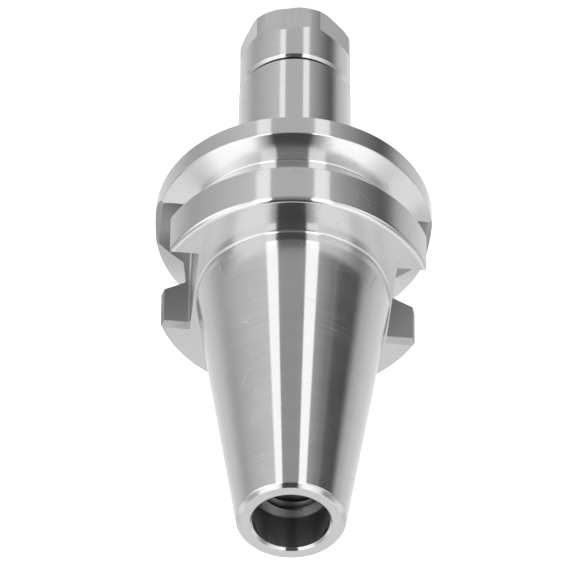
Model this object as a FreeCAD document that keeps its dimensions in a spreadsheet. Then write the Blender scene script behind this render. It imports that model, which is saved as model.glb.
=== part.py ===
import FreeCAD, Part
import os
import re
import Sketcher

# Collet chuck holder: a steep-taper tool holder that grips a small cutter in a spring
# collet. Three pieces come apart on a bench: the holder body, turned and ground from one
# bar, the slit spring collet, and the clamping nut that pushes the collet into its cone.
#
# The axis of the holder is the vertical axis. The origin is the centre of the taper's gauge
# plane, +Z points to the small end of the taper (the pull-stud end), and every depth below
# is measured from the gauge plane down towards the nut. The drive keyways lie on +X and -X.

SIZES = {
    # taper shank, 7 in 24 on the diameter
    "gauge_diameter": 31.75,
    "taper_length": 48.4,
    "taper_rise": 7,
    "taper_run": 24,
    "end_chamfer": 0.6,
    # flange with its gripper groove
    "seat_land": 2.0,
    "flange_diameter": 46,
    "flange_width": 20,
    "rear_round": 0.8,
    "front_chamfer": 0.7,
    "groove_centre": 13.6,
    "groove_root_width": 3.381,
    "groove_depth": 4.0,
    "groove_root_round": 0.4,
    "groove_flank_angle": 30,
    "edge_break": 0.25,
    # drive keyways, milled with a cutter that points at the axis
    "keyway_count": 2,
    "keyway_width": 16.1,
    "keyway_floor_land": 0.425,
    "keyway_reach": 18.9,
    "keyway_rim_depth": 0.85,
    "keyway_rim_width": 1.0,
    "keyway_mouth_chamfer": 0.85,
    "keyway_end_chamfer": 0.95,
    # neck and threaded nose
    "neck_diameter": 18.96,
    "neck_length": 27.4,
    "neck_fillet": 0.8,
    "nose_wall": 1.0,
    "nose_length": 8.1,
    "nose_chamfer": 0.4,
    "relief_depth": 0.3,
    "relief_width": 1.4,
    # bores of the body, each narrower than the one before it
    "pilot_wall": 2.5667,
    "pilot_depth": 7,
    "pilot_chamfer": 0.4,
    "stud_thread_step": 1.15,
    "stud_thread_depth": 34,
    "countersink_angle": 60,
    "coolant_step": 1.6,
    "drill_point_angle": 59,
    # spring collet
    "collet_diameter": 11.5,
    "collet_length": 18,
    "collet_half_angle": 8,
    "collet_bevel_angle": 30,
    "collet_bevel_width": 1.0,
    "collet_land": 0.77,
    "collet_groove_width": 1.5,
    "collet_groove_depth": 1.0,
    "collet_wall": 2.75,
    "collet_bore_chamfer": 0.3,
    "collet_recess": 0.25,
    "slit_width": 0.7,
    "slit_bridge": 2.5,
    "slit_count": 4,
    # clamping nut
    "nut_diameter": 18.71,
    "nut_length": 12.35,
    "nut_gap": 0.9,
    "nut_chamfer": 0.43,
    "nut_flat_count": 6,
    "nut_flat_depth": 0.855,
    "nut_flat_length": 5,
    "nut_flat_slope": 45,
    "nut_face_bevel_width": 0.635,
    "nut_face_bevel_angle": 45,
    "nut_turned": 44,
    "nut_bore_chamfer": 0.4,
    "nut_thread_run": 7.3,
    "nut_relief_depth": 0.3,
    "lip_bite": 0.35,
    "lip_offset": 0.4,
    # clearances between the pieces
    "thread_clearance": 0.05,
    "cone_clearance": 0.03,
    "groove_clearance": 0.15,
    "land_clearance": 0.2,
    # how far a cutting tool is drawn past the metal it removes
    "overrun": 1,
}

# how closely an edge's size and depth must agree with the edge looked for
MATCH = 1e-4
# the rough outline that a sketch starts from, before its dimensions are given
ROUGH_RADIUS = 10

doc = FreeCAD.newDocument("collet_chuck_holder")
sheet = doc.addObject("Spreadsheet::Sheet", "sizes")
for row, (alias, number) in enumerate(SIZES.items(), start=1):
    sheet.set("A%d" % row, alias)
    sheet.set("B%d" % row, str(number))
    sheet.setAlias("B%d" % row, alias)
doc.recompute()


def bound(text):
    """The expression with every size name looked up in the sheet."""
    return re.sub(r"[a-z_]+", lambda word: "sizes." + word[0] if word[0] in SIZES else word[0], text)


def plane(body, role):
    """One of the body's own origin planes."""
    return next(item for item in body.Origin.OriginFeatures if item.Role == role)


def attach(sketch, body, role, moved=None, turned=0.0):
    """Lay a sketch on an origin plane, moved along one of its axes and turned about its upright one."""
    sketch.AttachmentSupport = [(plane(body, role), "")]
    sketch.MapMode = "FlatFace"
    upright = FreeCAD.Rotation(FreeCAD.Vector(0, 1, 0), turned)
    sketch.AttachmentOffset = FreeCAD.Placement(FreeCAD.Vector(), upright)
    if moved:
        axis, distance = moved
        sketch.setExpression(".AttachmentOffset.Base.%s" % axis, bound(distance))


def outline(body, name, role, corners, moved=None, turned=0.0):
    """A closed outline of straight lines, each corner held by two dimensions from the origin."""
    sketch = body.newObject("Sketcher::SketchObject", name)
    attach(sketch, body, role, moved, turned)
    count = len(corners)
    upright = FreeCAD.Vector(0, 0, 1)
    spread = FreeCAD.Vector(ROUGH_RADIUS, 0, 0)
    rough = [FreeCAD.Rotation(upright, 360 * i / count).multVec(spread) for i in range(count)]
    for i in range(count):
        sketch.addGeometry(Part.LineSegment(rough[i], rough[(i + 1) % count]))
    for i in range(count):
        sketch.addConstraint(Sketcher.Constraint("Coincident", i, 2, (i + 1) % count, 1))
    for i, (across, up) in enumerate(corners):
        for kind, size, place in (("DistanceX", across, rough[i].x), ("DistanceY", up, rough[i].y)):
            index = sketch.addConstraint(Sketcher.Constraint(kind, -1, 1, i, 1, place))
            sketch.setExpression("Constraints[%d]" % index, bound(size))
    doc.recompute()
    return sketch


def turn(body, name, corners):
    """A ring turned about the vertical axis from an outline of (radius, depth) corners."""
    section = [(radius, "-(%s)" % depth) for radius, depth in corners]
    sketch = outline(body, name + "_outline", "XZ_Plane", section)
    ring = body.newObject("PartDesign::Revolution", name)
    ring.Profile = sketch
    ring.ReferenceAxis = (sketch, ["V_Axis"])
    ring.Angle = 360
    doc.recompute()
    return ring


def cut(body, name, kind, sketch, **settings):
    """A pocket or a groove that takes metal away, checked to have done so."""
    before = body.Shape.Volume
    feature = body.newObject(kind, name)
    feature.Profile = sketch
    for setting, choice in settings.items():
        setattr(feature, setting, choice)
    doc.recompute()
    if not feature.Shape.Volume < before:
        raise ValueError(name + " removes nothing")
    return feature


def repeat(body, name, features, count):
    """Copies of features, evenly spaced round the vertical axis."""
    ring = body.newObject("PartDesign::PolarPattern", name)
    ring.Originals = features
    ring.Axis = (plane(body, "Z_Axis"), [""])
    ring.Angle = 360
    ring.setExpression("Occurrences", bound(count))
    body.Tip = ring
    doc.recompute()
    return ring


def ring_edge(feature, diameter, depth):
    """The name of the circular edge of this diameter at this depth."""
    for number, edge in enumerate(feature.Shape.Edges, start=1):
        circle = edge.Curve
        if not isinstance(circle, Part.Circle):
            continue
        if abs(2 * circle.Radius - diameter) < MATCH and abs(circle.Center.z + depth) < MATCH:
            return "Edge%d" % number
    raise ValueError("no edge of diameter %.3f at depth %.3f" % (diameter, depth))


def fillet(body, name, base, diameter, depth, radius):
    """A rounded circular edge."""
    feature = body.newObject("PartDesign::Fillet", name)
    feature.Base = (base, [ring_edge(base, diameter, depth)])
    feature.setExpression("Radius", bound(radius))
    doc.recompute()
    return feature


# radii of the holder body's bores and of its groove and keyways
SMALL_END = "((gauge_diameter - taper_length * taper_rise / taper_run) / 2)"
PILOT = "(%s - pilot_wall)" % SMALL_END
STUD_THREAD = "(%s - stud_thread_step)" % PILOT
COOLANT = "(%s - coolant_step)" % STUD_THREAD
NOSE = "(collet_diameter / 2 + nose_wall)"
GROOVE_ROOT = "(flange_diameter / 2 - groove_depth)"
KEYWAY_FLOOR = "(gauge_diameter / 2 + keyway_floor_land)"

# depths that several pieces share, from the gauge plane towards the nut
FLANGE_END = "(seat_land + flange_width)"
NECK_END = "(seat_land + flange_width + neck_length)"
NOSE_END = "(%s + nose_length)" % NECK_END
NUT_REAR = "(%s + nut_gap)" % NECK_END
NUT_FACE = "(%s + nut_length)" % NUT_REAR
COLLET_FACE = "(%s - collet_recess)" % NUT_FACE
COLLET_BEVEL = "(collet_bevel_width / tan(collet_bevel_angle * 1 deg))"
GROOVE_FRONT = "(%s - %s - collet_land)" % (COLLET_FACE, COLLET_BEVEL)
GROOVE_REAR = "(%s - collet_groove_width)" % GROOVE_FRONT
COLLET_REAR = "(%s - collet_length)" % COLLET_FACE


def holder_body():
    """The holder body, turned in one piece from the pull-stud end to the threaded nose."""
    body = doc.addObject("PartDesign::Body", "holder_body")
    body.Label = "holder_body"

    flank = "tan(groove_flank_angle * 1 deg)"
    flank_run = "groove_depth * %s" % flank
    groove_top = "(groove_centre - groove_root_width / 2 - %s)" % flank_run
    groove_foot = "(groove_centre + groove_root_width / 2 + %s)" % flank_run
    cone_slope = "tan(collet_half_angle * 1 deg)"
    # the cone for the collet, wider than the collet's own cone by the clearance
    cone_fall = "(%s - %s) * %s" % (GROOVE_REAR, NOSE_END, cone_slope)
    cone_mouth = "(collet_diameter / 2 - %s + cone_clearance)" % cone_fall
    cone_depth = "((%s - %s) / %s)" % (cone_mouth, COOLANT, cone_slope)
    drill_end = "(stud_thread_depth - taper_length)"
    drill_point = "(coolant_step / tan(drill_point_angle * 1 deg))"
    countersink = "(stud_thread_step / tan(countersink_angle * 1 deg))"

    ring = turn(body, "turned_body", [
        ("%s + pilot_chamfer" % PILOT, "-taper_length"),
        ("%s - end_chamfer" % SMALL_END, "-taper_length"),
        ("%s + end_chamfer * taper_rise / taper_run / 2" % SMALL_END, "end_chamfer - taper_length"),
        ("gauge_diameter / 2", "0"),
        ("gauge_diameter / 2", "seat_land"),
        ("flange_diameter / 2", "seat_land"),
        ("flange_diameter / 2", "%s - edge_break" % groove_top),
        ("flange_diameter / 2 - edge_break", "%s + edge_break * %s" % (groove_top, flank)),
        (GROOVE_ROOT, "groove_centre - groove_root_width / 2"),
        (GROOVE_ROOT, "groove_centre + groove_root_width / 2"),
        ("flange_diameter / 2 - edge_break", "%s - edge_break * %s" % (groove_foot, flank)),
        ("flange_diameter / 2", "%s + edge_break" % groove_foot),
        ("flange_diameter / 2", "%s - front_chamfer" % FLANGE_END),
        ("flange_diameter / 2 - front_chamfer", FLANGE_END),
        ("neck_diameter / 2", FLANGE_END),
        ("neck_diameter / 2", "%s - edge_break" % NECK_END),
        ("neck_diameter / 2 - edge_break", NECK_END),
        ("%s - relief_depth" % NOSE, NECK_END),
        ("%s - relief_depth" % NOSE, "%s + relief_width" % NECK_END),
        (NOSE, "%s + relief_width + relief_depth" % NECK_END),
        (NOSE, "%s - nose_chamfer" % NOSE_END),
        ("%s - nose_chamfer" % NOSE, NOSE_END),
        (cone_mouth, NOSE_END),
        (COOLANT, "%s - %s" % (NOSE_END, cone_depth)),
        (COOLANT, "%s + %s" % (drill_end, drill_point)),
        (STUD_THREAD, drill_end),
        (STUD_THREAD, "pilot_depth + %s - taper_length" % countersink),
        (PILOT, "pilot_depth - taper_length"),
        (PILOT, "pilot_chamfer - taper_length"),
    ])

    flange_end = sheet.seat_land + sheet.flange_width
    root = sheet.flange_diameter - 2 * sheet.groove_depth
    root_half = sheet.groove_root_width / 2
    for name, diameter, depth, radius in (
        ("rear_rim_round", sheet.flange_diameter, sheet.seat_land, "rear_round"),
        ("neck_root_fillet", sheet.neck_diameter, flange_end, "neck_fillet"),
        ("groove_rear_round", root, sheet.groove_centre - root_half, "groove_root_round"),
        ("groove_front_round", root, sheet.groove_centre + root_half, "groove_root_round"),
    ):
        ring = fillet(body, name, ring, diameter, depth, radius)

    # Each keyway is a straight run with a half-round end. Its edges are broken by three cuts:
    # a cone round the end, a slope along each side at the rim and one along the rear face.
    half = "keyway_width / 2"
    centre = "(keyway_reach - keyway_width / 2)"
    clear = "(flange_diameter / 2 + overrun)"
    end = outline(body, "keyway_end_outline", "XZ_Plane", [
        (KEYWAY_FLOOR, "0"),
        (clear, "0"),
        (clear, "%s + keyway_end_chamfer + overrun" % half),
        ("flange_diameter / 2 - keyway_end_chamfer", half),
        (KEYWAY_FLOOR, half),
    ], moved=("y", "-" + centre))
    across = (end, ["H_Axis"])
    milled_end = cut(body, "keyway_end", "PartDesign::Groove", end, ReferenceAxis=across, Angle=360)

    rim = "(sqrt(flange_diameter ^ 2 / 4 - keyway_width ^ 2 / 4) - keyway_rim_depth)"
    flare = "(%s + keyway_rim_width)" % half
    crest = "sqrt(flange_diameter ^ 2 / 4 - %s ^ 2)" % flare
    run = outline(body, "keyway_run_outline", "XY_Plane", [
        (KEYWAY_FLOOR, "-" + half),
        (rim, "-" + half),
        (crest, "-" + flare),
        (clear, "-" + flare),
        (clear, flare),
        (crest, flare),
        (rim, half),
        (KEYWAY_FLOOR, half),
    ], moved=("z", "-" + centre))
    through = {"Type": "ThroughAll", "Reversed": True}
    milled_run = cut(body, "keyway_run", "PartDesign::Pocket", run, **through)

    mouth = "(%s + keyway_mouth_chamfer + overrun)" % half
    slope = outline(body, "keyway_mouth_outline", "YZ_Plane", [
        ("-" + half, "-(seat_land + keyway_mouth_chamfer)"),
        (half, "-(seat_land + keyway_mouth_chamfer)"),
        (mouth, "overrun - seat_land"),
        ("-" + mouth, "overrun - seat_land"),
    ], moved=("z", KEYWAY_FLOOR))
    milled_mouth = cut(body, "keyway_mouth", "PartDesign::Pocket", slope, **through)
    repeat(body, "two_keyways", [milled_end, milled_run, milled_mouth], "keyway_count")
    return body


def collet():
    """The spring collet: a slit sleeve with a long cone at the back and a steep bevel in front."""
    body = doc.addObject("PartDesign::Body", "collet")
    body.Label = "collet"
    cone_fall = "(%s - %s) * tan(collet_half_angle * 1 deg)" % (GROOVE_REAR, COLLET_REAR)
    bore = "(collet_diameter / 2 - collet_wall)"
    turn(body, "turned_collet", [
        ("%s + collet_bore_chamfer" % bore, COLLET_FACE),
        ("collet_diameter / 2 - collet_bevel_width", COLLET_FACE),
        ("collet_diameter / 2", "%s - %s" % (COLLET_FACE, COLLET_BEVEL)),
        ("collet_diameter / 2", GROOVE_FRONT),
        ("collet_diameter / 2 - collet_groove_depth", GROOVE_FRONT),
        ("collet_diameter / 2 - collet_groove_depth", GROOVE_REAR),
        ("collet_diameter / 2", GROOVE_REAR),
        ("collet_diameter / 2 - %s" % cone_fall, COLLET_REAR),
        ("%s + collet_bore_chamfer" % bore, COLLET_REAR),
        (bore, "%s + collet_bore_chamfer" % COLLET_REAR),
        (bore, "%s - collet_bore_chamfer" % COLLET_FACE),
    ])
    # the slits start from the two ends in turn, and each stops short of the other end
    beyond = "collet_diameter / 2 + overrun"
    half_step = 180.0 / sheet.slit_count
    ends = (
        ("front_slit", "%s + overrun" % COLLET_FACE, "%s + slit_bridge" % COLLET_REAR, 0.0),
        ("rear_slit", "%s - overrun" % COLLET_REAR, "%s - slit_bridge" % COLLET_FACE, half_step),
    )
    for name, start, stop, turned in ends:
        sketch = outline(body, name + "_outline", "XZ_Plane", [
            ("0", "-(%s)" % start),
            (beyond, "-(%s)" % start),
            (beyond, "-(%s)" % stop),
            ("0", "-(%s)" % stop),
        ], turned=turned)
        midplane = {"SideType": "Symmetric", "Length": sheet.slit_width}
        slit = cut(body, name, "PartDesign::Pocket", sketch, **midplane)
        slit.setExpression("Length", bound("slit_width"))
        repeat(body, name + "s", [slit], "slit_count")
    return body


def clamping_nut():
    """The clamping nut: a threaded skirt, six spanner flats, and a cone that bears on the collet."""
    body = doc.addObject("PartDesign::Body", "clamping_nut")
    body.Label = "clamping_nut"
    steep = "tan(collet_bevel_angle * 1 deg)"
    # the bearing cone runs parallel to the collet's bevel, from the relief in to the mouth
    seat = "(collet_diameter / 2 + land_clearance)"
    mouth = "(%s - collet_bevel_width)" % seat
    seat_gap = "(land_clearance - cone_clearance)"
    seat_end = "(%s - %s / %s)" % (COLLET_FACE, seat_gap, steep)
    seat_start = "(%s - %s)" % (seat_end, COLLET_BEVEL)
    lip_rear = "(%s + groove_clearance)" % GROOVE_REAR
    lip_front = "(%s - groove_clearance)" % GROOVE_FRONT
    bore = "(%s + thread_clearance)" % NOSE
    relief = "(%s + nut_relief_depth)" % bore
    bevel = "nut_face_bevel_width * tan(nut_face_bevel_angle * 1 deg)"
    lip = "(collet_diameter / 2 - lip_bite)"
    turn(body, "turned_nut", [
        ("%s + nut_bore_chamfer" % bore, NUT_REAR),
        ("nut_diameter / 2 - nut_chamfer", NUT_REAR),
        ("nut_diameter / 2", "%s + nut_chamfer" % NUT_REAR),
        ("nut_diameter / 2", "%s - %s" % (NUT_FACE, bevel)),
        ("nut_diameter / 2 - nut_face_bevel_width", NUT_FACE),
        (mouth, NUT_FACE),
        (mouth, seat_end),
        (seat, seat_start),
        (seat, lip_front),
        ("%s - lip_offset" % lip, lip_front),
        ("%s - lip_offset" % lip, lip_rear),
        (relief, lip_rear),
        (relief, "%s + nut_thread_run + nut_relief_depth" % NUT_REAR),
        (bore, "%s + nut_thread_run" % NUT_REAR),
        (bore, "%s + nut_bore_chamfer" % NUT_REAR),
    ])

    # The lip that pulls the collet out is bored off centre, so it bites on one side only.
    ring = body.newObject("Sketcher::SketchObject", "lip_outline")
    attach(ring, body, "XY_Plane", moved=("z", "-" + lip_rear))
    centre = FreeCAD.Vector(sheet.lip_offset, 0, 0)
    radius = sheet.collet_diameter / 2 - sheet.lip_bite
    ring.addGeometry(Part.Circle(centre, FreeCAD.Vector(0, 0, 1), radius))
    places = (
        (Sketcher.Constraint("DistanceX", -1, 1, 0, 3, sheet.lip_offset), "lip_offset"),
        (Sketcher.Constraint("Radius", 0, radius), lip),
    )
    for constraint, size in places:
        index = ring.addConstraint(constraint)
        ring.setExpression("Constraints[%d]" % index, bound(size))
    ring.addConstraint(Sketcher.Constraint("PointOnObject", 0, 3, -1))
    doc.recompute()
    lip_bore = cut(body, "lip_bore", "PartDesign::Pocket", ring, Length=sheet.overrun)
    lip_bore.setExpression("Length", bound("%s - %s" % (lip_front, lip_rear)))

    # each flat runs out to the skirt over a sloped shoulder
    flat_start = "(%s - nut_flat_length)" % NUT_FACE
    inside = "(nut_diameter / 2 - nut_flat_depth)"
    outside = "(nut_diameter / 2 + overrun)"
    slope = "(nut_flat_depth + overrun) / tan(nut_flat_slope * 1 deg)"
    side = outline(body, "flat_outline", "XZ_Plane", [
        (inside, "-" + flat_start),
        (inside, "-(%s + overrun)" % NUT_FACE),
        (outside, "-(%s + overrun)" % NUT_FACE),
        (outside, "-(%s - %s)" % (flat_start, slope)),
    ])
    midplane = {"SideType": "Symmetric", "Length": sheet.nut_diameter}
    flat = cut(body, "spanner_flat", "PartDesign::Pocket", side, **midplane)
    flat.setExpression("Length", bound("nut_diameter"))
    repeat(body, "spanner_flats", [flat], "nut_flat_count")
    upright = FreeCAD.Rotation(FreeCAD.Vector(0, 0, 1), sheet.nut_turned)
    body.Placement = FreeCAD.Placement(FreeCAD.Vector(), upright)
    body.setExpression("Placement.Rotation.Angle", bound("nut_turned * 1 deg"))
    return body


pieces = [holder_body(), collet(), clamping_nut()]
doc.recompute()

for item in doc.Objects:
    if {"Invalid", "Error"} & set(item.State):
        raise ValueError("%s did not rebuild: %s" % (item.Name, item.State))
for piece in pieces:
    shape = piece.Shape
    if shape.isNull() or not shape.isValid() or len(shape.Solids) != 1:
        raise ValueError("%s is not one valid solid" % piece.Label)

os.makedirs("parts", exist_ok=True)
for piece in pieces:
    piece.Shape.exportStep(os.path.join("parts", piece.Label + ".step"))
    print(piece.Label, round(piece.Shape.Volume, 1), "mm3")
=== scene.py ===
import math
from functools import partial

import bmesh
import bpy
import numpy as np
from mathutils import Matrix, Vector


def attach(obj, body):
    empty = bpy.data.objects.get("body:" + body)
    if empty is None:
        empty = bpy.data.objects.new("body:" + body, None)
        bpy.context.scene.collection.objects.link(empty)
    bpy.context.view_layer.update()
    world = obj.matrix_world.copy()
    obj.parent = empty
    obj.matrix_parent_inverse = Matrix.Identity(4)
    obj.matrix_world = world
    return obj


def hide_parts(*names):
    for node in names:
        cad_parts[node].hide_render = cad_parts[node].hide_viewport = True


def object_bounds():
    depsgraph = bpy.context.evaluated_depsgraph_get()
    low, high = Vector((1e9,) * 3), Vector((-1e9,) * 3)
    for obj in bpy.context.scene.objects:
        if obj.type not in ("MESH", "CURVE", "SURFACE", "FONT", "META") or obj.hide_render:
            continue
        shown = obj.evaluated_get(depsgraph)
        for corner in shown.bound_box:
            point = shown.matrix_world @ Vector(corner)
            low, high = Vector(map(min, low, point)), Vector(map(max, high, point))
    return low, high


# The collet chuck holder stands on its nut with the taper up, as on a tool shelf. The frame
# gives its three bodies: the holder, the spring collet in its nose and the nut round it.
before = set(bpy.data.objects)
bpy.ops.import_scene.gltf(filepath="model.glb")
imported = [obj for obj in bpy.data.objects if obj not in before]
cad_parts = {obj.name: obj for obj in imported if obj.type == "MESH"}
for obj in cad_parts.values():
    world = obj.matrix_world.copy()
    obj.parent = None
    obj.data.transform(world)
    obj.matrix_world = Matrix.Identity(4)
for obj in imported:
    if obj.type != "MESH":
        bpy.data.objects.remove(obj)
cad_low, cad_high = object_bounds()
scene = bpy.context.scene
scene.view_settings.view_transform = "Standard"


# The camera looks down on the small end of the taper from a long way off, and hangs upside
# down, so that the taper points at the bottom of the picture. It is aimed just off the
# centre of the gauge plane.
VIEW_AZIMUTH = math.radians(5.2)
VIEW_ELEVATION = math.radians(44.46)
VIEW_ROLL = math.radians(180.52)
VIEW_DISTANCE = 1.3107
VIEW_LENS_MM = 500.4
SENSOR_MM = 36.0
AIM_ACROSS = -0.00107
AIM_UP = 0.00345

toward_camera = Vector((
    math.sin(VIEW_AZIMUTH) * math.cos(VIEW_ELEVATION),
    -math.cos(VIEW_AZIMUTH) * math.cos(VIEW_ELEVATION),
    math.sin(VIEW_ELEVATION),
))
camera_place = toward_camera * VIEW_DISTANCE
level_turn = toward_camera.to_track_quat("Z", "Y") @ Matrix.Rotation(VIEW_ROLL, 3, "Z").to_quaternion()
across = level_turn @ Vector((1, 0, 0))
upward = level_turn @ Vector((0, 1, 0))
line_of_sight = (camera_place - AIM_ACROSS * across - AIM_UP * upward).normalized()
frame_up = (upward - upward.dot(line_of_sight) * line_of_sight).normalized()
frame_across = frame_up.cross(line_of_sight)
camera_data = bpy.data.cameras.new("camera")
camera_data.lens = VIEW_LENS_MM
camera_data.sensor_width = SENSOR_MM
camera = bpy.data.objects.new("camera", camera_data)
camera.matrix_world = Matrix((
    (frame_across.x, frame_up.x, line_of_sight.x, camera_place.x),
    (frame_across.y, frame_up.y, line_of_sight.y, camera_place.y),
    (frame_across.z, frame_up.z, line_of_sight.z, camera_place.z),
    (0, 0, 0, 1),
))
scene.collection.objects.link(camera)
scene.camera = camera


# The studio is a white tent of cloth, greyer at its sides. Two long soft boxes, wide panels
# and a black ceiling between them hang over the object, and a black flag stands low on the
# picture's right. All of it is drawn on the world, as seen from the object.
world = bpy.data.worlds.new("studio")
scene.world = world
world.use_nodes = True
world.cycles.sampling_method = "NONE"
studio = world.node_tree
studio.nodes.clear()


def wired(tree, kind, inputs, output=0, **settings):
    """A new node of the tree, its sockets set to numbers or linked to other nodes' outputs."""
    node = tree.nodes.new(kind)
    for setting, choice in settings.items():
        setattr(node, setting, choice)
    for socket, value in inputs.items():
        if isinstance(value, bpy.types.NodeSocket):
            tree.links.new(value, node.inputs[socket])
        else:
            node.inputs[socket].default_value = value
    return node.outputs[output]


def parted(tree, vector):
    """The three numbers of a vector."""
    split = tree.nodes.new("ShaderNodeSeparateXYZ")
    tree.links.new(vector, split.inputs["Vector"])
    return split.outputs


def reckon(tree, operation, *values):
    """A number worked out from one, two or three others."""
    return wired(tree, "ShaderNodeMath", dict(enumerate(values)), operation=operation)


def fade(tree, value, start, end, low=0.0, high=1.0, kind="SMOOTHSTEP"):
    """low before start, high after end, and a smooth step between them."""
    sockets = {"Value": value, "From Min": start, "From Max": end, "To Min": low, "To Max": high}
    return wired(tree, "ShaderNodeMapRange", sockets, output="Result", interpolation_type=kind)


def blend_levels(tree, share, low, high):
    """low where share is 0, high where it is 1."""
    sockets = {"Factor": share, "A": low, "B": high}
    return wired(tree, "ShaderNodeMix", sockets, output="Result", data_type="FLOAT")


# Every light below is a ramp or a slope over degrees of bearing, rise or pitch, from one angle
# to another, between two levels. A level is a share of full white.
ramp = partial(fade, studio)
slope = partial(fade, studio, kind="LINEAR")
plus, minus, times = (partial(reckon, studio, name) for name in ("ADD", "SUBTRACT", "MULTIPLY"))
unsigned = partial(reckon, studio, "ABSOLUTE")
mix = partial(blend_levels, studio)

STUDIO_AZIMUTH = math.radians(7.2)
DEGREES = 180 / math.pi
toward_sky = wired(studio, "ShaderNodeTexCoord", {}, output="Generated")
toward_sky = wired(studio, "ShaderNodeVectorRotate", {
    "Vector": toward_sky, "Angle": -STUDIO_AZIMUTH}, rotation_type="Z_AXIS")
sideways, away, height = parted(studio, toward_sky)
near = times(away, -1.0)
# bearing: from the studio's middle line, positive to the right of the picture
bearing = times(reckon(studio, "ARCTAN2", sideways, near), -DEGREES)
aside = unsigned(bearing)
# rise: above or below eye level
rise = times(reckon(studio, "ARCSINE", height), DEGREES)
# pitch: over the top, from the camera's horizon at 0 to the far one at 180
pitch = times(reckon(studio, "ARCTAN2", height, near), DEGREES)

# the cloth low down: greyest square to the camera's line, brightest beyond the object
low_cloth = plus(slope(aside, 30, 88, 0.71, 0.47), ramp(aside, 88, 124, 0.0, 0.26))
low_cloth = plus(low_cloth, slope(aside, 124, 175, 0.0, 0.26))
# the cloth high up: a grey strip at each side that ends under the ceiling
high_cloth = minus(ramp(aside, 90, 112, 0.52, 1.0), ramp(aside, 125, 178, 0.0, 0.26))
top_cloth = minus(ramp(aside, 34, 75, 0.42, 1.26), ramp(aside, 75, 110, 0.0, 0.17))
high_cloth = mix(ramp(rise, 45, 56), high_cloth, top_cloth)
light = mix(ramp(rise, -12, 20), low_cloth, high_cloth)
# a grey fold in it on both far sides
fold = times(ramp(aside, 118, 130), ramp(aside, 152, 166, 1.0, 0.0))
fold = times(fold, times(ramp(rise, 2, 12), ramp(rise, 28, 38, 1.0, 0.0)))
light = minus(light, times(fold, 0.25))
# a bright patch straight behind the object
patch = times(ramp(aside, 166, 174), ramp(rise, 36, 40))
patch = times(patch, ramp(rise, 43.4, 44.4, 1.0, 0.0))
light = plus(light, times(patch, 0.15))
# the panels overhead, soft towards the ceiling's middle and along their outer sides
panel_side = minus(aside, slope(rise, 30, 57, 60, 87))
panel_blur = ramp(rise, 30, 45, 22, 7)
panel = ramp(panel_side, times(panel_blur, -1.0), panel_blur, 1.0, 0.0)
panel = times(panel, ramp(rise, 0, 22))
panel = times(panel, mix(ramp(pitch, 48, 60), 1.0, ramp(unsigned(sideways), 0.20, 0.34)))
light = mix(panel, light, ramp(rise, 30, 58, 1.28, 1.45))
# the side lamps at eye level, seen only where one face of the object mirrors another
lamp = times(ramp(aside, 60, 95, 1.0, 0.0), ramp(rise, -22, -12))
lamp = times(lamp, ramp(rise, 5, 34, 1.0, 0.0))
light = mix(lamp, light, ramp(aside, 30, 55, 1.25, 1.8))
# the flag: a long soft inner side with a thin seam, strongest below eye level
flag_start = ramp(rise, -46, -30, 15, 4)
flag_full = ramp(rise, -46, -30, 78, 60)
flag_end = ramp(rise, -46, -36, 103, 98)
flag = slope(bearing, flag_start, flag_full, 0.0, 0.83)
flag = times(flag, ramp(bearing, 80, flag_end, 1.0, 0.0))
seam = reckon(studio, "COMPARE", bearing, 52.5, 0.9)
flag = minus(flag, times(seam, 0.09))
flag = times(flag, ramp(rise, -20, -8, 1.0, 0.4))
flag = times(flag, ramp(rise, 38, 52, 1.0, 0.0))
flag = times(flag, ramp(rise, -46, -30, 0.9, 1.0))
light = times(light, minus(1.0, flag))
# the soft boxes, brightest at their middle height
box_light = plus(ramp(rise, -46, -28, 1.09, 1.36), ramp(rise, -10, 8, 0.0, 0.9))
box_light = minus(box_light, ramp(rise, 28, 56, 0.0, 1.3))
box_side = minus(unsigned(minus(bearing, 1.0)), ramp(rise, -46, -28, 30.3, 28.8))
box = times(ramp(box_side, -0.7, 0.7, 1.0, 0.0), ramp(rise, 46, 58, 1.0, 0.0))
light = mix(box, light, box_light)
# the black ceiling between them, narrower and softer high up
border = minus(slope(pitch, -47, -28, 0.217, 0.237), slope(pitch, 40, 75, 0.0, 0.08))
border_blur = slope(pitch, 30, 75, 0.008, 0.035)
gap_side = minus(unsigned(plus(sideways, ramp(pitch, 20, 45, 0.006, -0.010))), border)
gap = ramp(gap_side, times(border_blur, -1.0), border_blur, 1.0, 0.0)
gap = times(gap, ramp(pitch, 84, 100, 1.0, 0.0))
gap = times(gap, ramp(pitch, -100, -80))
gap_light = minus(slope(pitch, -47, -28, 0.62, 0.37), slope(pitch, -28, 28, 0.0, 0.13))
gap_light = minus(gap_light, ramp(pitch, 30, 46, 0.0, 0.17))
light = mix(gap, light, gap_light)
# the camera itself sees plain white
tent = wired(studio, "ShaderNodeBackground", {"Color": (1, 1, 1, 1), "Strength": light})
white = wired(studio, "ShaderNodeBackground", {"Color": (1, 1, 1, 1), "Strength": 1.0})
by_camera = wired(studio, "ShaderNodeLightPath", {}, output="Is Camera Ray")
seen = wired(studio, "ShaderNodeMixShader", {0: by_camera, 1: tent, 2: white})
studio.links.new(seen, studio.nodes.new("ShaderNodeOutputWorld").inputs["Surface"])


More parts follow.
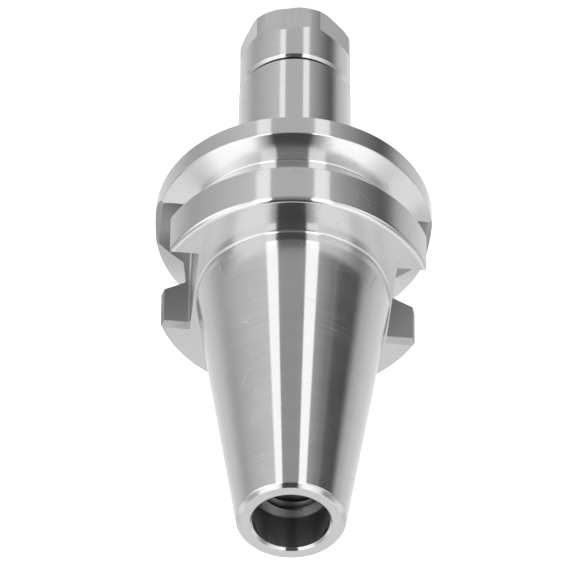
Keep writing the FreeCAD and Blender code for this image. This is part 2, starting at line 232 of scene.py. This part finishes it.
# The floor is a sheet of white card, wide enough for every view and low enough for the nut to
# screw right off above it. Seen from below it is clear, so that it hides nothing.
FLOOR_HALF = 3.0
NUT_TRAVEL = 0.00675
CARD_GLOW = 0.56
floor_height = cad_low.z - NUT_TRAVEL
floor_corners = np.array([[-1, -1], [1, -1], [1, 1], [-1, 1]]) * FLOOR_HALF
floor_mesh = bpy.data.meshes.new("floor")
floor_mesh.from_pydata(np.column_stack([floor_corners, np.full(4, floor_height)]), [], [(0, 1, 2, 3)])
floor = bpy.data.objects.new("floor", floor_mesh)
scene.collection.objects.link(floor)
floor.visible_glossy = False
card = bpy.data.materials.new("white_card")
card.use_nodes = True
paper = card.node_tree
paper_shader = paper.nodes["Principled BSDF"]
paper_shader.inputs["Base Color"].default_value = (0.9, 0.9, 0.9, 1)
paper_shader.inputs["Roughness"].default_value = 0.9
lit_by = paper.nodes.new("ShaderNodeLightPath").outputs
seen_ray = reckon(paper, "MAXIMUM", lit_by["Is Camera Ray"], lit_by["Is Glossy Ray"])
seen_ray = reckon(paper, "MAXIMUM", seen_ray, lit_by["Is Transmission Ray"])
glow = wired(paper, "ShaderNodeEmission", {"Strength": reckon(paper, "MULTIPLY", seen_ray, CARD_GLOW)})
top_side = wired(paper, "ShaderNodeAddShader", {0: paper_shader.outputs["BSDF"], 1: glow})
from_below = wired(paper, "ShaderNodeNewGeometry", {}, output="Backfacing")
clear = wired(paper, "ShaderNodeBsdfTransparent", {})
both_ways = wired(paper, "ShaderNodeMixShader", {0: from_below, 1: top_side, 2: clear})
paper.links.new(both_ways, paper.nodes["Material Output"].inputs["Surface"])
floor_mesh.materials.append(card)


# The holder body is one bar of hardened steel, turned and then ground between centres. The
# pull stud screws into its small end and the collet sits in its nose. Grinding and
# deburring leave a small round on each edge.
MM = 0.001
TURN_STEPS = 360
GAUGE_RADIUS = 15.875
SMALL_END = 48.4
SMALL_END_RADIUS = 8.817
SMALL_END_CHAMFER = (0.6, 0.62)
CHAMFER_WIDENS = 0.09
SEAT_DEPTH = 2.0
REAR_RIM_ROUND = 0.8
FLANGE_RADIUS = 23.0
FLANGE_END = 22.0
FLANGE_CHAMFER = 0.7
GROOVE_CENTRE = 13.6
GROOVE_ROOT = 19.0
GROOVE_ROOT_ROUND = 0.4
GROOVE_EDGE_ROUND = 0.25
GROOVE_HALF_ROOT = 1.6905
GROOVE_HALF_MOUTH = GROOVE_HALF_ROOT + (FLANGE_RADIUS - GROOVE_ROOT) * math.tan(math.radians(30))
NECK_RADIUS = 9.48
NECK_END = 49.4
NOSE_CORE = 6.45
NOSE_END = 57.5
NOSE_CHAMFER = 0.3
CONE_MOUTH = 5.7535
COOLANT_RADIUS = 3.5
CONE_RUN = (CONE_MOUTH - COOLANT_RADIUS) / math.tan(math.radians(8))
STUD_FOOT = 14.4
STUD_TOP = 41.404
STUD_CORE = 5.1
STUD_HOLLOW = 6.5
DRILL_POINT = 0.96
PILOT_RADIUS = 6.25
PILOT_CHAMFER = 0.4
BROKEN_EDGE = 0.08
FINE_EDGE = 0.05


def rounded_outline(corners):
    """The (radius, height) points of a closed outline whose corners are turned into arcs.

    corners is rows of radius, height and round. An arc touches both sides of its corner, so
    it starts and ends at round times the tangent of half the turn from the corner. A short
    straight stretch beside each arc keeps the shading level on long runs.
    """
    corners = np.asarray(corners, float)
    backs = np.roll(corners, 1, axis=0)[:, :2] - corners[:, :2]
    aheads = np.roll(corners, -1, axis=0)[:, :2] - corners[:, :2]
    points = []
    for corner, size, back, ahead in zip(corners[:, :2], corners[:, 2], backs, aheads):
        shorter = min(np.hypot(*back), np.hypot(*ahead))
        back = back / np.hypot(*back)
        ahead = ahead / np.hypot(*ahead)
        half = 0.5 * (math.pi - math.acos(np.clip(back @ ahead, -1, 1)))
        reach = min(size * math.tan(half), 0.4 * shorter)
        first = corner + back * reach
        last = corner + ahead * reach
        middle = corner + (back + ahead) / np.hypot(*(back + ahead)) * reach / math.sin(half)
        share = np.linspace(0, 1, max(4, math.ceil(half / math.radians(5))))[:, None]
        arc = np.sin((1 - share) * 2 * half) * (first - middle) + np.sin(share * 2 * half) * (last - middle)
        rest = min(0.02 + 0.5 * reach, 0.3 * (shorter - 2 * reach))
        points += [first + back * rest, *(middle + arc / math.sin(2 * half)), last + ahead * rest]
    return np.array(points)


def grid_faces(rows, columns, shift=0, rows_close=False):
    """The four corner numbers of each face of a grid whose columns close round the axis.

    With a shift, the last column joins the first one that many rows further on, as a thread
    does. With rows_close the last row joins the first.
    """
    row, column = np.indices((rows, columns))

    def number(up, along):
        """The number of the point that many rows up and columns along."""
        turns, place = np.divmod(column + along, columns)
        level = row + up + turns * shift
        level = level % rows if rows_close else np.minimum(level, rows - 1)
        return level * columns + place

    faces = np.stack([number(0, 0), number(0, 1), number(1, 1), number(1, 0)], axis=-1)
    return faces[:rows if rows_close else rows - 1].reshape(-1, 4)


def carried_round(outline, steps):
    """A grid of points in metres: each (radius, height) of the outline carried round the axis."""
    angle = np.arange(steps) * 2 * math.pi / steps
    radius, height = outline[:, :1], outline[:, 1:]
    return np.stack([radius * np.cos(angle), radius * np.sin(angle), height + 0 * angle], axis=-1) * MM


def finish_mesh(mesh, fold_degrees=28):
    """Merge points that coincide, turn the faces outwards and shade all but the sharp folds."""
    shell = bmesh.new()
    shell.from_mesh(mesh)
    bmesh.ops.remove_doubles(shell, verts=shell.verts, dist=0.0005 * MM)
    bmesh.ops.dissolve_degenerate(shell, edges=shell.edges, dist=0.0002 * MM)
    bmesh.ops.recalc_face_normals(shell, faces=shell.faces)
    shell.to_mesh(mesh)
    shell.free()
    mesh.shade_smooth()
    mesh.set_sharp_from_angle(angle=math.radians(fold_degrees))


def new_piece(name, mesh):
    """An object for a mesh, at the origin."""
    piece = bpy.data.objects.new(name, mesh)
    scene.collection.objects.link(piece)
    return piece


def steel(name, shade, gloss, mark_size, mark_depth, round_axis=True, spread=0.97):
    """A material of bare steel with the fine marks that its tool left.

    The marks are noise that changes fast across them and slowly along them. They run round
    the axis, or with round_axis off, level across the faces. shade is the brightness and
    gloss the smallest and the largest roughness. mark_size is the spacing of the finest
    marks and mark_depth their height, in metres. spread is how far rings draw a highlight
    out. The shade and the gloss also change a little with the marks and in soft blotches.
    """
    shade_drift = 0.02
    blueness = 1.008
    worn_roughness = 0.18
    worn_shade = 0.86
    material = bpy.data.materials.new(name)
    material.use_nodes = True
    tree = material.node_tree
    noise = partial(wired, tree, "ShaderNodeTexNoise", noise_dimensions="3D")
    cells = partial(wired, tree, "ShaderNodeTexVoronoi", voronoi_dimensions="3D")
    place = wired(tree, "ShaderNodeTexCoord", {}, output="Object")
    x, y, z = parted(tree, place)
    if round_axis:
        flat = wired(tree, "ShaderNodeCombineXYZ", {"X": x, "Y": y})
        radius = wired(tree, "ShaderNodeVectorMath", {0: flat}, output="Value", operation="LENGTH")
        outward = reckon(tree, "MULTIPLY", radius, 0.83 / mark_size)
        fast = reckon(tree, "MULTIPLY_ADD", z, 1.0 / mark_size, outward)
        slow = (reckon(tree, "MULTIPLY", x, 60.0), reckon(tree, "MULTIPLY", y, 60.0))
    else:
        fast = reckon(tree, "MULTIPLY", x, 1.0 / mark_size)
        slow = (reckon(tree, "MULTIPLY", z, 400.0), reckon(tree, "MULTIPLY", y, 400.0))
    swept = wired(tree, "ShaderNodeCombineXYZ", {"X": fast, "Y": slow[0], "Z": slow[1]})
    marks = noise({"Vector": swept, "Scale": 0.25, "Detail": 4.0, "Roughness": 0.7})
    blotches = noise({"Vector": place, "Scale": 160.0, "Detail": 4.0, "Roughness": 0.6})
    uneven = blend_levels(tree, 0.5, marks, blotches)
    # scratches: the walls of large bent cells, kept in a few places only
    bent = noise({"Vector": place, "Scale": 90.0, "Detail": 1.0}, output="Color")
    bend = wired(tree, "ShaderNodeVectorMath", {0: bent, 1: (0.004, 0.004, 0.001)}, operation="MULTIPLY")
    bent_place = wired(tree, "ShaderNodeVectorMath", {0: place, 1: bend}, operation="ADD")
    crossed = cells({"Vector": bent_place, "Scale": 210.0}, feature="DISTANCE_TO_EDGE")
    chosen = noise({"Vector": place, "Scale": 310.0, "Detail": 2.0})
    scratches = reckon(
        tree, "MULTIPLY", fade(tree, crossed, 0.004, 0.014, 1.0, 0.0), fade(tree, chosen, 0.60, 0.68))
    # specks: the middles of small cells, in a few other places
    specks = fade(tree, cells({"Vector": place, "Scale": 430.0}), 0.05, 0.10, 1.0, 0.0)
    specks = reckon(tree, "MULTIPLY", specks, fade(tree, chosen, 0.44, 0.40))
    # both are duller than the steel round them, and a little darker
    worn = reckon(tree, "MAXIMUM", scratches, specks)
    roughness = reckon(
        tree, "ADD", fade(tree, uneven, 0.36, 0.64, *gloss, "LINEAR"),
        reckon(tree, "MULTIPLY", worn, worn_roughness))
    tint = fade(tree, uneven, 0.34, 0.66, shade - shade_drift, shade + shade_drift, "LINEAR")
    tint = reckon(tree, "MULTIPLY", tint, fade(tree, worn, 0.0, 1.0, 1.0, worn_shade, "LINEAR"))
    colour = wired(tree, "ShaderNodeCombineColor", {
        "Red": tint, "Green": tint, "Blue": reckon(tree, "MULTIPLY", tint, blueness)})
    relief = wired(tree, "ShaderNodeBump", {"Strength": 1.0, "Distance": mark_depth, "Height": marks})
    shader = tree.nodes["Principled BSDF"].inputs
    shader["Metallic"].default_value = 1.0
    shader["Anisotropic"].default_value = spread if round_axis else 0.0
    shader["Anisotropic Rotation"].default_value = 0.25
    tree.links.new(colour, shader["Base Color"])
    tree.links.new(roughness, shader["Roughness"])
    tree.links.new(relief, shader["Normal"])
    if round_axis:
        tangent = wired(tree, "ShaderNodeTangent", {}, direction_type="RADIAL", axis="Z")
        tree.links.new(tangent, shader["Tangent"])
    return material


# from the bore's mouth over the small end, the taper, the flange and the neck to the nose, and
# back through the collet's cone, the coolant hole and the stud's bore
holder_outline = rounded_outline([
    (PILOT_RADIUS + PILOT_CHAMFER, SMALL_END, BROKEN_EDGE),
    (SMALL_END_RADIUS - SMALL_END_CHAMFER[0], SMALL_END, 0.15),
    (SMALL_END_RADIUS + CHAMFER_WIDENS, SMALL_END - SMALL_END_CHAMFER[1], 0.35),
    (GAUGE_RADIUS, 0, 0.1),
    (GAUGE_RADIUS, -SEAT_DEPTH, 0.35),
    (FLANGE_RADIUS, -SEAT_DEPTH, REAR_RIM_ROUND),
    (FLANGE_RADIUS, GROOVE_HALF_MOUTH - GROOVE_CENTRE, GROOVE_EDGE_ROUND),
    (GROOVE_ROOT, GROOVE_HALF_ROOT - GROOVE_CENTRE, GROOVE_ROOT_ROUND),
    (GROOVE_ROOT, -GROOVE_HALF_ROOT - GROOVE_CENTRE, GROOVE_ROOT_ROUND),
    (FLANGE_RADIUS, -GROOVE_HALF_MOUTH - GROOVE_CENTRE, GROOVE_EDGE_ROUND),
    (FLANGE_RADIUS, FLANGE_CHAMFER - FLANGE_END, BROKEN_EDGE),
    (FLANGE_RADIUS - FLANGE_CHAMFER, -FLANGE_END, BROKEN_EDGE),
    (NECK_RADIUS, -FLANGE_END, 0.8),
    (NECK_RADIUS, -NECK_END, 0.25),
    (NOSE_CORE, -NECK_END, 0.1),
    (NOSE_CORE, NOSE_CHAMFER - NOSE_END, FINE_EDGE),
    (NOSE_CORE - NOSE_CHAMFER, -NOSE_END, FINE_EDGE),
    (CONE_MOUTH, -NOSE_END, FINE_EDGE),
    (COOLANT_RADIUS, CONE_RUN - NOSE_END, FINE_EDGE),
    (COOLANT_RADIUS, STUD_FOOT - DRILL_POINT, 0.1),
    (STUD_CORE, STUD_FOOT, FINE_EDGE),
    (STUD_HOLLOW, STUD_FOOT, FINE_EDGE),
    (STUD_HOLLOW, STUD_TOP, 0.02),
    (PILOT_RADIUS, STUD_TOP, 0.02),
    (PILOT_RADIUS, SMALL_END - PILOT_CHAMFER, BROKEN_EDGE),
])
holder_grid = carried_round(holder_outline, TURN_STEPS)
holder_mesh = bpy.data.meshes.new("holder_steel")
holder_mesh.from_pydata(holder_grid.reshape(-1, 3), [], grid_faces(*holder_grid.shape[:2], rows_close=True))
finish_mesh(holder_mesh)
holder = new_piece("holder_steel", holder_mesh)
ground = steel("ground_steel", 0.69, gloss=(0.10, 0.15), mark_size=0.00012, mark_depth=0.3e-6)
bored = steel("bored_steel", 0.5, gloss=(0.2, 0.24), mark_size=0.0002, mark_depth=0.3e-6)
holder_mesh.materials.append(ground)
holder_mesh.materials.append(bored)
# the wall of the stud's bore is only bored, not ground
centres = np.empty(len(holder_mesh.polygons) * 3, np.float32)
holder_mesh.polygons.foreach_get("center", centres)
centres = centres.reshape(-1, 3) / MM
in_bore = (np.hypot(centres[:, 0], centres[:, 1]) < PILOT_RADIUS + 0.05) & (centres[:, 2] > 0)
holder_mesh.polygons.foreach_set("material_index", in_bore.astype(np.int32))


# Two drive keyways are milled across the holder's flange, on opposite sides. Each is a
# straight run with a half-round end, and the cutter leaves a small radius along its floor.
# Its edges are broken round the end, along the rim and at the rear face.
KEYWAY_HALF = 8.05
KEYWAY_FLOOR = 16.3
KEYWAY_CENTRE = -10.85
KEYWAY_CORNER = 0.5
END_BREAK = 0.95
RIM_START = 20.695
FLARE_DEPTH = 21.145
FLARE_HALF = 9.05
MOUTH_BREAK = 0.85
PAST_RIM = 24.5
PAST_REAR = 1.0
CIRCLE_STEPS = 144


def lofted(name, rings, turns):
    """Closed solids through rings of equally many points, with a flat face at each end.

    There is one solid for each of the turns, which are angles about the axis: x and y are
    turned by its sine and cosine. The faces then point outwards.
    """
    rows, columns = rings.shape[:2]
    number = np.arange(rows * columns).reshape(rows, columns)
    around = np.roll(number, -1, axis=1)
    sides = np.stack([number[:-1], around[:-1], around[1:], number[1:]], axis=-1).reshape(-1, 4)
    faces = [*sides, number[0, ::-1], number[-1]]
    faces = [(face + number.size * copy).tolist() for copy in range(len(turns)) for face in faces]
    x, y, z = rings.reshape(-1, 3).T
    angle = np.asarray(turns)[:, None]
    points = np.stack([
        x * np.cos(angle) - y * np.sin(angle),
        x * np.sin(angle) + y * np.cos(angle),
        z + 0 * angle,
    ], axis=-1)
    mesh = bpy.data.meshes.new(name)
    mesh.from_pydata(points.reshape(-1, 3) * MM, [], faces)
    shell = bmesh.new()
    shell.from_mesh(mesh)
    bmesh.ops.recalc_face_normals(shell, faces=shell.faces)
    shell.to_mesh(mesh)
    shell.free()
    return mesh


def cut_away(piece, cutter_mesh, material):
    """Take the cutter's solids away from the piece; the cut faces get the material."""
    cutter_mesh.materials.append(material)
    cutter = new_piece(cutter_mesh.name, cutter_mesh)
    tool = piece.modifiers.new("cut", "BOOLEAN")
    tool.operation = "DIFFERENCE"
    tool.solver = "EXACT"
    tool.material_mode = "TRANSFER"
    tool.object = cutter
    graph = bpy.context.evaluated_depsgraph_get()
    cut_mesh = bpy.data.meshes.new_from_object(piece.evaluated_get(graph))
    piece.modifiers.clear()
    old_mesh = piece.data
    piece.data = cut_mesh
    bpy.data.meshes.remove(old_mesh)
    bpy.data.objects.remove(cutter)


corner_turn = np.linspace(0, math.pi / 2, 7)
corner_depth = KEYWAY_FLOOR + KEYWAY_CORNER * (1 - np.cos(corner_turn))
corner_width = KEYWAY_HALF - KEYWAY_CORNER * (1 - np.sin(corner_turn))
# the round end: circles about a line that points at the axis, wider past the rim
end_depth = np.append(corner_depth, [FLANGE_RADIUS - END_BREAK, PAST_RIM])
end_width = np.append(corner_width, [KEYWAY_HALF, KEYWAY_HALF + END_BREAK + PAST_RIM - FLANGE_RADIUS])
round_turn = np.arange(CIRCLE_STEPS) * 2 * math.pi / CIRCLE_STEPS
end_rings = np.stack([
    end_depth[:, None] + 0 * round_turn,
    end_width[:, None] * np.cos(round_turn),
    KEYWAY_CENTRE + end_width[:, None] * np.sin(round_turn),
], axis=-1)
# the straight run: one cross-section, carried from the round end out past the rear face
half_section = np.column_stack([corner_depth, corner_width])
flare = [(RIM_START, KEYWAY_HALF), (FLARE_DEPTH, FLARE_HALF), (PAST_RIM, FLARE_HALF)]
half_section = np.vstack([half_section, flare])
run_section = np.vstack([half_section, half_section[::-1] * (1, -1)])
run_rings = np.stack([
    np.column_stack([run_section, np.full(len(run_section), z)]) for z in (KEYWAY_CENTRE, PAST_REAR)])
# the broken edges of the mouth: a wedge that opens towards the rear face
wedge_low = -SEAT_DEPTH - MOUTH_BREAK
wedge_half = KEYWAY_HALF + PAST_REAR - wedge_low
wedge = np.array([
    (-KEYWAY_HALF, wedge_low), (KEYWAY_HALF, wedge_low), (wedge_half, PAST_REAR), (-wedge_half, PAST_REAR)])
wedge_rings = np.stack([np.column_stack([np.full(4, x), wedge]) for x in (KEYWAY_FLOOR - 0.01, PAST_RIM)])
milled = steel(
    "milled_steel", 0.40, gloss=(0.42, 0.52), mark_size=0.0002, mark_depth=2e-6, round_axis=False)
deburred = steel(
    "deburred_steel", 0.66, gloss=(0.45, 0.6), mark_size=0.0002, mark_depth=2e-6, round_axis=False)
for cutter_name, rings, finish in (
        ("keyway_end", end_rings, milled),
        ("keyway_run", run_rings, milled),
        ("keyway_mouth", wedge_rings, deburred)):
    cut_away(holder, lofted(cutter_name, rings, turns=(0, math.pi)), finish)
finish_mesh(holder.data)
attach(holder, "holder")
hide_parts("holder_body")


# The pull stud's thread is tapped into the bore of the small end, M12 with a pitch of
# 1.75 mm. A countersink cuts across its first turn. The thread is a sleeve in the bore.
STUD_PITCH = 1.75
STUD_SECTION = [(0, STUD_CORE), (0.25, STUD_CORE), (0.5625, 6.0), (0.6875, 6.0)]
STUD_THREAD_FOOT = STUD_FOOT + 1.0
COUNTERSINK_ANGLE = math.radians(60)
SLEEVE_OVERLAP = 0.02


def threaded_sleeve(name, pitch, section, low, high, ends, back, trim, steps=240):
    """A closed sleeve with a thread on one side, laid along the thread so that its edges stay crisp.

    section is the thread's (share of the pitch, radius) points. Round the axis each point
    rises by one pitch in a turn. Beyond the sleeve's ends the points stay at the end's own
    height and radius. back is the radius of the plain side, and trim(radius, height) is what
    a chamfer leaves of the thread.
    """
    shares, radii = np.asarray(section, float).T
    turns = math.ceil((high - low) / pitch) + 2
    angle = np.arange(steps) * 2 * math.pi / steps
    share = (np.arange(turns)[:, None] - 1 + shares).reshape(-1, 1)
    climb = low + pitch * (share + angle / (2 * math.pi))
    height = np.clip(climb, low, high)
    radius = trim(np.tile(radii, turns)[:, None] + 0 * climb, height)
    radius = np.where(climb <= low, ends[0], np.where(climb >= high, ends[1], radius))
    thread = np.stack([radius * np.cos(angle), radius * np.sin(angle), height], axis=-1) * MM
    plain = carried_round(np.array([(ends[0], low), (back, low), (back, high), (ends[1], high)]), steps)
    faces = np.vstack([
        grid_faces(len(thread), steps, shift=len(shares)),
        grid_faces(4, steps) + thread[..., 0].size,
    ])
    mesh = bpy.data.meshes.new(name)
    mesh.from_pydata(np.vstack([thread.reshape(-1, 3), plain.reshape(-1, 3)]), [], faces)
    finish_mesh(mesh)
    return new_piece(name, mesh)


def countersunk(radius, height):
    """The thread, cut back to the cone of the countersink where that is wider."""
    return np.maximum(radius, PILOT_RADIUS - (STUD_TOP - height) * math.tan(COUNTERSINK_ANGLE))


stud_thread = threaded_sleeve(
    "stud_thread", STUD_PITCH, STUD_SECTION, STUD_THREAD_FOOT, STUD_TOP, (STUD_CORE, PILOT_RADIUS),
    STUD_HOLLOW + SLEEVE_OVERLAP, countersunk)
# The tapped steel is far darker than any bare steel: painted shade for the depth of the bore, on the thread
# and its countersink.
tapped_painted_shade = steel("tapped_steel_painted_shade", 0.2, gloss=(0.4, 0.5), mark_size=0.0002, mark_depth=1e-6, spread=0.5)
stud_thread.data.materials.append(tapped_painted_shade)
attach(stud_thread, "holder")


# The nut's thread is turned on the nose of the same steel bar, M14 with a pitch of 0.75 mm.
# It stops short of the neck and is chamfered at both ends.
NUT_PITCH = 0.75
NOSE_SECTION = [(0, 6.95), (0.0625, 6.95), (0.378, 6.54), (0.622, 6.54), (0.9375, 6.95)]
NOSE_THREAD_REAR = -NECK_END - 1.4
CHAMFER_FOOT = 6.5
NOSE_SLEEVE_WALL = 0.3


def nose_chamfered(radius, height):
    """The thread, cut back to the chamfers at its two ends."""
    return np.minimum(radius, CHAMFER_FOOT + np.minimum(height + NOSE_END, NOSE_THREAD_REAR + 0.1 - height))


nose_thread = threaded_sleeve(
    "nose_thread", NUT_PITCH, NOSE_SECTION, SLEEVE_OVERLAP - NOSE_END, NOSE_THREAD_REAR,
    (NOSE_CORE, NOSE_CORE), NOSE_CORE - NOSE_SLEEVE_WALL, nose_chamfered)
nose_thread.data.materials.append(ground)
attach(nose_thread, "holder")


# The clamping nut is turned from one bar of steel, with a knife-thin gap behind it. Six
# spanner flats are milled at its free end, each with a sloping shoulder, and a cone inside
# it bears on the collet. The lip that pulls the collet out is bored off centre.
NUT_RADIUS = 9.355
NUT_REAR = 50.3
NUT_REAR_CHAMFER = 0.43
NUT_FACE = 62.65
NUT_FACE_CHAMFER = 0.635
NUT_HOLLOW = 7.15
NUT_TURNED = math.radians(44)
MOUTH_RADIUS = 4.95
BEARING_CONE = ((4.95, 62.106), (5.95, 60.374))
LIP_RADIUS = 5.4
LIP_OFFSET = 0.4
LIP_FRONT = 59.746
LIP_REAR = 58.546
FLAT_REACH = 8.5
FLAT_START = 57.65
FLAT_HALF = 4.2
BLOCK_DEPTH = 1.9
BLOCK_PAST_FACE = 1.0

lip_inner = LIP_RADIUS - LIP_OFFSET
nut_outline = rounded_outline([
    (NUT_HOLLOW, -NUT_REAR, 0.02),
    (NUT_RADIUS - NUT_REAR_CHAMFER, -NUT_REAR, BROKEN_EDGE),
    (NUT_RADIUS, -NUT_REAR - NUT_REAR_CHAMFER, BROKEN_EDGE),
    (NUT_RADIUS, NUT_FACE_CHAMFER - NUT_FACE, BROKEN_EDGE),
    (NUT_RADIUS - NUT_FACE_CHAMFER, -NUT_FACE, BROKEN_EDGE),
    (MOUTH_RADIUS, -NUT_FACE, BROKEN_EDGE),
    (BEARING_CONE[0][0], -BEARING_CONE[0][1], FINE_EDGE),
    (BEARING_CONE[1][0], -BEARING_CONE[1][1], FINE_EDGE),
    (BEARING_CONE[1][0], -LIP_FRONT, FINE_EDGE),
    (lip_inner, -LIP_FRONT, 0.04),
    (lip_inner, -LIP_REAR, 0.04),
    (NUT_HOLLOW, -LIP_REAR, FINE_EDGE),
])[::-1]
# the lip's hole is a circle whose middle lies off the axis; its edge bounds every row of the
# outline that reaches in to it
nut_angle = np.arange(TURN_STEPS) * 2 * math.pi / TURN_STEPS
lip_turn = nut_angle - NUT_TURNED
lip_edge = LIP_OFFSET * np.cos(lip_turn) + np.sqrt(LIP_RADIUS ** 2 - (LIP_OFFSET * np.sin(lip_turn)) ** 2)
outline_radius, outline_height = nut_outline.T
in_lip = (np.abs(outline_height + (LIP_FRONT + LIP_REAR) / 2) < 0.65) & (outline_radius < lip_inner + 0.2)
nut_radius = np.repeat(outline_radius[:, None], TURN_STEPS, axis=1)
nut_radius[in_lip] += lip_edge - lip_inner
nut_grid = np.stack([
    nut_radius * np.cos(nut_angle),
    nut_radius * np.sin(nut_angle),
    outline_height[:, None] + 0 * nut_angle,
], axis=-1) * MM
nut_mesh = bpy.data.meshes.new("nut_steel")
nut_mesh.from_pydata(nut_grid.reshape(-1, 3), [], grid_faces(*nut_grid.shape[:2], rows_close=True))
finish_mesh(nut_mesh)
nut = new_piece("nut_steel", nut_mesh)
turned = steel("turned_steel", 0.69, gloss=(0.13, 0.18), mark_size=0.00018, mark_depth=0.4e-6)
nut_mesh.materials.append(turned)
# each flat's cutter is a block whose back slopes out over the shoulder
block_side = np.array([
    (FLAT_REACH, -FLAT_START),
    (FLAT_REACH, -NUT_FACE - BLOCK_PAST_FACE),
    (FLAT_REACH + BLOCK_DEPTH, -NUT_FACE - BLOCK_PAST_FACE),
    (FLAT_REACH + BLOCK_DEPTH, BLOCK_DEPTH - FLAT_START),
])
block_rings = np.stack([
    np.column_stack([block_side[:, 0], np.full(4, y), block_side[:, 1]]) for y in (-FLAT_HALF, FLAT_HALF)])
flat_turns = NUT_TURNED + np.arange(6) * math.pi / 3
flat_steel = steel(
    "flat_steel", 0.62, gloss=(0.12, 0.18), mark_size=0.0002, mark_depth=0.5e-6, round_axis=False)
cut_away(nut, lofted("spanner_flats", block_rings, flat_turns), flat_steel)
finish_mesh(nut.data, fold_degrees=20)
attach(nut, "nut")
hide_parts("clamping_nut")


# The nut's own thread is cut inside its skirt, to run on the nose's with a little play.
NUT_SECTION = [(0.0586, 7.02), (0.3819, 6.6), (0.6181, 6.6), (0.9414, 7.02)]
NUT_THREAD_LENGTH = 7.5
THREAD_MOUTH = 7.1
NUT_SLEEVE_OVERLAP = 0.03


def nut_mouth(radius, height):
    """The nut's thread, cut back to the chamfers at its two ends."""
    from_ends = np.minimum(-NUT_REAR - height, height + NUT_REAR + NUT_THREAD_LENGTH)
    return np.maximum(radius, THREAD_MOUTH - from_ends)


nut_thread = threaded_sleeve(
    "nut_thread", NUT_PITCH, NUT_SECTION, -NUT_REAR - NUT_THREAD_LENGTH, -NUT_REAR - SLEEVE_OVERLAP,
    (THREAD_MOUTH, THREAD_MOUTH), NUT_HOLLOW + NUT_SLEEVE_OVERLAP, nut_mouth)
nut_thread.data.materials.append(turned)
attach(nut_thread, "nut")


# The spring collet is a sleeve of hardened spring steel, slit so that it can close on a
# cutter's shank. It sits in the nose's cone with its face just inside the nut's mouth. Its
# shape is the frame's own.
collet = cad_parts["collet"]
sprung = steel("spring_steel", 0.6, gloss=(0.2, 0.3), mark_size=0.00015, mark_depth=1e-6)
collet.data.materials.clear()
collet.data.materials.append(sprung)
